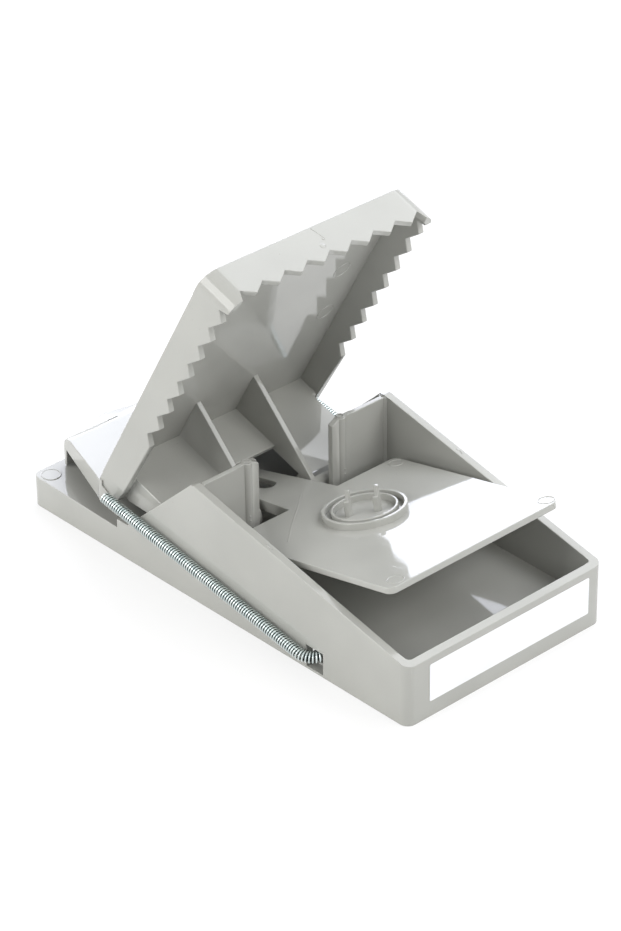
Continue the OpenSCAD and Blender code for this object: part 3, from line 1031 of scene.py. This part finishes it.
@dataclass
class ExtensionSpring:
    """One long extension spring, from the jaw's side to a ledge under the tray's floor.

    Lengths are in millimetres and angles in degrees. Its centre line is worked out for the
    right-hand spring, from the rear end, and mirrored for the left one.
    """

    side: int
    name: str
    node: str
    finish: bpy.types.Material
    wire_r: float = 0.31
    coil_r: float = 1.465
    # Distances from the axis, in millimetres, over which the painted shade on the wire's inner side fades
    # in.
    inner_shade_from: float = 1.70
    inner_shade_to: float = 1.48
    pitch: float = 0.90
    y: float = 40.2
    rear: tuple[float, float] = (36.8, 19.4)
    bend: tuple[float, float] = (118.5, 5.8)
    bend_r: float = 7.2
    bend_angle: float = 59.0
    bend_lift: float = 20.0
    leg: float = 3.4
    leg_inset: float = 0.21
    leg_start: tuple[float, float] = (0.9, 0.05)
    last_turn: float = 0.75
    hook_start: tuple[float, float] = (0.6, -1.0)
    hook_inset: float = 0.6
    hook_heights: tuple[float, float, float] = (3.6, 2.6, 0.4)
    anchor_y: float = 33.6
    steps: int = 20
    sides: int = 8
    joint_run: float = 6.0
    fixed_run: float = 1.5
    keep: float = 0.836

    def axis(self, s: float) -> tuple[Vector, Vector, Vector]:
        """The spring's axis.

        Args:
            s: distance from the rear end in millimetres.

        Returns:
            The point on the axis, and the two directions square to it.
        """
        run = Vector((self.bend[0] - self.rear[0], 0, self.bend[1] - self.rear[1]))
        straight = run.length
        run.normalize()
        lift = math.radians(self.bend_lift)
        inner = math.cos(lift) * Vector((0, 1, 0)) + math.sin(lift) * Vector((-run.z, 0, run.x))
        turn = max(0.0, s - straight) / self.bend_r
        along = min(s, straight) + self.bend_r * math.sin(turn)
        start = Vector((self.rear[0] - BASE_LEN / 2 / MM, -self.y, self.rear[1]))
        point = start + along * run + self.bend_r * (1 - math.cos(turn)) * inner
        return point, math.cos(turn) * inner - math.sin(turn) * run, run.cross(inner)

    def straight_run(self) -> float:
        """Length of the straight part in millimetres."""
        return math.hypot(self.bend[0] - self.rear[0], self.bend[1] - self.rear[1])

    def path(self) -> list[Vector]:
        """Centre line of the wire of the right-hand spring.

        Returns:
            Its points in millimetres: rear leg, coil and front hook.
        """
        length = self.straight_run() + self.bend_r * math.radians(self.bend_angle)
        turns = round(length / self.pitch) + self.last_turn
        count = round(turns * self.steps)
        coil = []
        for i in range(count + 1):
            point, across, up = self.axis(length * i / count)
            angle = math.radians(-90) - 2 * math.pi * turns * i / count
            coil.append(point + self.coil_r * (math.sin(angle) * up + math.cos(angle) * across))
        first, last = coil[0], coil[-1]
        inset = (self.axis(0)[0] - first).normalized() * self.leg_inset
        rear = [first + inset + Vector((0, self.leg, 0)), first + inset + Vector((0, *self.leg_start))]
        high, middle, low = self.hook_heights
        front = [
            last + Vector((0, *self.hook_start)),
            Vector((last.x, -self.anchor_y - self.hook_inset, high)),
            Vector((last.x, -self.anchor_y, middle)), Vector((last.x, -self.anchor_y, low)),
        ]
        return rear + coil + front

    def off_axis(self, point: Vector) -> float:
        """How far a point of the right-hand spring lies from its axis.

        Args:
            point: the point.

        Returns:
            The distance in millimetres.
        """
        straight = self.straight_run()
        start, inner, _ = self.axis(0)
        bend, _, _ = self.axis(straight)
        run = (bend - start).normalized()
        along = (point - start).dot(run)
        if along > straight:
            arm = point - bend - self.bend_r * inner
            turn = math.atan2(arm.dot(run), -arm.dot(inner))
            along = straight + self.bend_r * max(0.0, min(math.radians(self.bend_angle), turn))
        return (point - self.axis(max(0.0, along))[0]).length

    def placed(self, point: Vector) -> Vector:
        """A point of the right-hand spring, in metres on this spring's side."""
        return Vector((point.x, -self.side * point.y, point.z)) * MM

    def build(self) -> list[bpy.types.Object]:
        """Builds the long coil and the bent front end.

        Returns:
            Both pieces' objects.
        """
        points = self.path()
        split = 2 + round((self.straight_run() - self.joint_run) / self.pitch * self.steps)
        coil = self.wound(points[:split + 1])
        end = self.wound(points[split:])
        straight = self.straight_run()
        joint, _, _ = self.axis(straight - self.joint_run)
        fixed, _, _ = self.axis(straight + self.fixed_run)
        run = self.placed(self.axis(straight)[0]) - self.placed(self.axis(0)[0])
        long_coil = Piece(f"{self.name}_coil", self.node, self.finish, "zinc_wire", (self.node,))
        coil_piece = long_coil.build(coil, level=False)
        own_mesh(coil_piece)
        hook = Piece(f"{self.name}_front_end", "", self.finish, "zinc_wire", (self.node,))
        hook_piece = hook.build(end, level=False)
        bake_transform(hook_piece)
        return [coil_piece, hook_piece]

    def wound(self, points: list[Vector]) -> bmesh.types.BMesh:
        """Winds wire along part of the centre line, and marks its inner side for the painted shade in the
        finish.

        Args:
            points: that part of the right-hand spring's centre line.

        Returns:
            The wire's mesh, in metres on this spring's side.
        """
        bm = bmesh.new()
        path = [self.placed(p) for p in points]
        Bench.wire(bm, path, self.wire_r * MM, self.sides, Vector((1, 0, 0)))
        layer = bm.verts.layers.float.new(ZincWire.inner_side)
        for v in bm.verts:
            local = Vector((v.co.x, -self.side * v.co.y, v.co.z)) / MM
            # Grades the painted shade from the outer face of each turn to the coil's inside.
            inward = (self.inner_shade_from - self.off_axis(local)) / (self.inner_shade_from - self.inner_shade_to)
            v[layer] = max(0.0, min(1.0, inward))
        bmesh.ops.recalc_face_normals(bm, faces=bm.faces[:])
        return bm


@dataclass
class Sticker:
    """The blank sticker on the front wall."""

    finish: bpy.types.Material
    width: float = 62.0 * MM
    height: float = 12.0 * MM
    thickness: float = 0.13 * MM
    corner: float = 0.5 * MM
    centre_y: float = 1.3 * MM
    low_z: float = 5.2 * MM
    lift: float = 0.02 * MM
    loose_reach: float = 6.0 * MM

    def build(self) -> list[bpy.types.Object]:
        """Builds the sticker, with one corner a little loose.

        Returns:
            The sticker's object.
        """
        bm = bmesh.new()
        bmesh.ops.create_grid(bm, x_segments=42, y_segments=10, size=0.5)
        size = Matrix.Diagonal((self.width, self.height, 1, 1))
        bmesh.ops.transform(bm, matrix=size, verts=bm.verts[:])
        corners = [v for v in bm.verts if len(v.link_edges) == 2]
        bmesh.ops.bevel(
            bm, geom=corners, offset=self.corner, offset_type="OFFSET", segments=3, profile=0.5,
            affect="VERTICES", material=-1, clamp_overlap=True,
        )
        loose = Vector((0.5 * self.width, -0.5 * self.height, 0))
        for v in bm.verts:
            near = max(0.0, 1 - (loose - v.co).length / self.loose_reach)
            v.co.z += self.lift * near * near
        made = bmesh.ops.extrude_face_region(bm, geom=bm.faces[:])
        raised = [g for g in made["geom"] if isinstance(g, bmesh.types.BMVert)]
        bmesh.ops.translate(bm, vec=Vector((0, 0, self.thickness)), verts=raised)
        bmesh.ops.recalc_face_normals(bm, faces=bm.faces[:])
        stand = Matrix(((0, 0, 1), (1, 0, 0), (0, 1, 0))).to_4x4()
        stand.translation = Vector((BASE_LEN / 2, self.centre_y, self.low_z + self.height / 2))
        bmesh.ops.transform(bm, matrix=stand, verts=bm.verts[:])
        piece = Piece("blank_sticker", Body.BASE.value, self.finish, "white_label", ("label",))
        return [piece.build(bm)]


@dataclass(frozen=True)
class Softbox:
    """A rectangular soft lamp that faces the trap."""

    name: str
    place: tuple[float, float, float]
    size: tuple[float, float]
    glow: float
    tint: tuple[float, float, float] = (1.0, 1.0, 1.0)

    def build(self) -> bpy.types.Object:
        """Makes the lamp. Its power follows from its size and the brightness of its face.

        Returns:
            The lamp's object.
        """
        lamp = bpy.data.lights.new(self.name, "AREA")
        lamp.shape = "RECTANGLE"
        lamp.size, lamp.size_y = self.size
        lamp.energy = self.glow * math.pi * self.size[0] * self.size[1]
        lamp.color = self.tint
        made = bpy.data.objects.new(self.name, lamp)
        made.location = self.place
        made.rotation_euler = Vector(self.place).to_track_quat("Z", "Y").to_euler()
        made.visible_camera = False
        bpy.context.scene.collection.objects.link(made)
        return made


@dataclass
class Studio:
    """White floor, white surroundings, soft lamps and the camera."""

    floor_size: float = 6.0
    floor_colour: tuple[float, float, float] = (0.84, 0.84, 0.835)
    fill: float = 0.38
    floor_glow: float = 0.75
    lens: float = 141.45
    film_width: float = 36.0
    film_shift: tuple[float, float] = (-0.0060, -0.0019)
    sight: tuple[float, float] = (0.05, 50.0)
    eye: tuple[float, float, float] = (0.6577, -0.5992, 0.5768)
    right: tuple[float, float, float] = (0.67996, 0.73315, -0.01042)
    up: tuple[float, float, float] = (-0.37652, 0.36129, 0.85304)
    back: tuple[float, float, float] = (0.6292, -0.5761, 0.5217)
    lamps: tuple[Softbox, ...] = (
        Softbox("overhead_softbox", (0.12, 0.72, 1.12), (1.5, 1.1), 2.75, (0.94, 0.96, 1.0)),
        Softbox("rear_softbox", (-1.19, 0.96, 0.61), (1.5, 1.2), 4.1, (0.84, 0.87, 1.0)),
        Softbox("side_softbox", (-0.62, -1.3, 0.72), (1.6, 1.1), 4.3, (1.0, 1.0, 0.99)),
        Softbox("front_softbox", (1.3, 0.1, 0.95), (1.3, 0.9), 4.0, (1.0, 1.0, 0.99)),
    )

    def seen_plainly(self, g: Graph) -> Signal:
        """Tells what the camera sees, directly or in a reflection, from what only lights the trap.

        Args:
            g: the graph of the floor's material or of the world.

        Returns:
            1 for what it sees, 0 for the rest.
        """
        path = g.node("ShaderNodeLightPath")
        camera = Signal(g, path.outputs["Is Camera Ray"])
        seen = camera + Signal(g, path.outputs["Is Glossy Ray"])
        return (seen + Signal(g, path.outputs["Is Transmission Ray"])).at_most(1.0)

    def build_floor(self) -> None:
        """White floor that keeps a soft shadow."""
        bm = bmesh.new()
        bmesh.ops.create_grid(bm, x_segments=1, y_segments=1, size=self.floor_size / 2)
        mesh = bpy.data.meshes.new("floor")
        bm.to_mesh(mesh)
        bm.free()
        floor = bpy.data.objects.new("floor", mesh)
        bpy.context.scene.collection.objects.link(floor)
        made = bpy.data.materials.new("white_ground")
        g = Graph(made)
        matt = g.node("ShaderNodeBsdfDiffuse", inputs={"Color": rgb(*self.floor_colour)})
        bright = g.node("ShaderNodeEmission", inputs={"Color": rgb(1, 1, 1), "Strength": 1.0})
        share = self.seen_plainly(g) * self.floor_glow
        both = g.node("ShaderNodeMixShader", inputs={0: share, 1: matt.outputs[0], 2: bright.outputs[0]})
        g.node("ShaderNodeOutputMaterial", inputs={"Surface": both.outputs[0]})
        mesh.materials.append(made)

    def build_world(self) -> None:
        """White surroundings, which light the trap more softly than they look."""
        world = bpy.data.worlds.new("white_room")
        bpy.context.scene.world = world
        g = Graph(world)
        strength = self.fill + self.seen_plainly(g) * (1.0 - self.fill)
        glow = g.node("ShaderNodeBackground", inputs={"Color": rgb(1, 1, 1), "Strength": strength})
        g.node("ShaderNodeOutputWorld", inputs={"Surface": glow.outputs[0]})

    def build_camera(self) -> None:
        """Camera at the photograph's place, with its long lens."""
        lens = bpy.data.cameras.new("camera")
        lens.lens = self.lens
        lens.sensor_width = self.film_width
        lens.sensor_fit = "AUTO"
        lens.shift_x, lens.shift_y = self.film_shift
        lens.clip_start, lens.clip_end = self.sight
        camera = bpy.data.objects.new("camera", lens)
        turn = Matrix((self.right, self.up, self.back)).transposed().to_4x4()
        turn.translation = Vector(self.eye)
        camera.matrix_world = turn
        bpy.context.scene.collection.objects.link(camera)
        bpy.context.scene.camera = camera

    def build(self) -> None:
        """Builds the whole studio."""
        bpy.context.scene.view_settings.view_transform = "Standard"
        self.build_floor()
        self.build_world()
        self.build_camera()
        for lamp in self.lamps:
            lamp.build()


def main() -> None:
    """Builds the studio and every piece, and logs each piece's face count."""
    logging.basicConfig(level=logging.INFO, format="%(name)s %(message)s")
    Studio().build()
    grey = {
        node: MouldedPlastic(f"grey_{node}", shift).material()
        for node, shift in (
            ("base", (0.0, 0.0, 0.0)), ("jaw", (0.31, 0.12, 0.05)), ("bait_plate", (0.07, 0.44, 0.21)),
        )
    }
    zinc = ZincWire().material()
    parts = (
        TrapBase("base", Body.BASE, BASE_LAY, grey["base"], "grey_plastic_base"),
        Jaw("jaw", Body.JAW, JAW_LAY, grey["jaw"], "grey_plastic_jaw"),
        BaitPlate("bait_plate", Body.PLATE, PLATE_LAY, grey["bait_plate"], "grey_plastic_plate"),
        ExtensionSpring(1, "left", Body.LEFT_SPRING.value, zinc),
        ExtensionSpring(-1, "right", Body.RIGHT_SPRING.value, zinc),
        Sticker(BlankPaper().material()),
    )
    for part in parts:
        for piece in part.build():
            log.info("built %s, %d faces", piece.name, len(piece.data.polygons))


if __name__ == "__main__":
    main()
